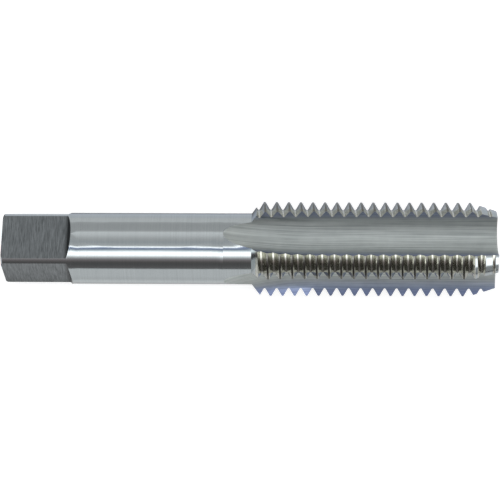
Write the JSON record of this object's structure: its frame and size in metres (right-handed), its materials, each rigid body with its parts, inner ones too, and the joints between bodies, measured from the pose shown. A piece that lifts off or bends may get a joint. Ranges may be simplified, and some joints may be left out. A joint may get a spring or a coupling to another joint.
{
  "type": "thread tap",
  "caption": "Hand tap with a plain round shank, a driving square, straight flutes and a coarse right-hand thread with a tapered lead.",
  "frame": {"origin": "centre of the driving square's end face, on the tap's axis", "axes": "+X along the axis from the square to the cutting tip, +Z out of one driving flat and up when the tap lies down"},
  "size_m": [0.1154, 0.02, 0.02],
  "materials": {
    "tool_steel": "ground bright high speed steel, with the driving square left dark from heat treatment and ground across"
  },
  "bodies": {
    "root": {"thread_tap": "tool_steel"}
  },
  "joints": []
}
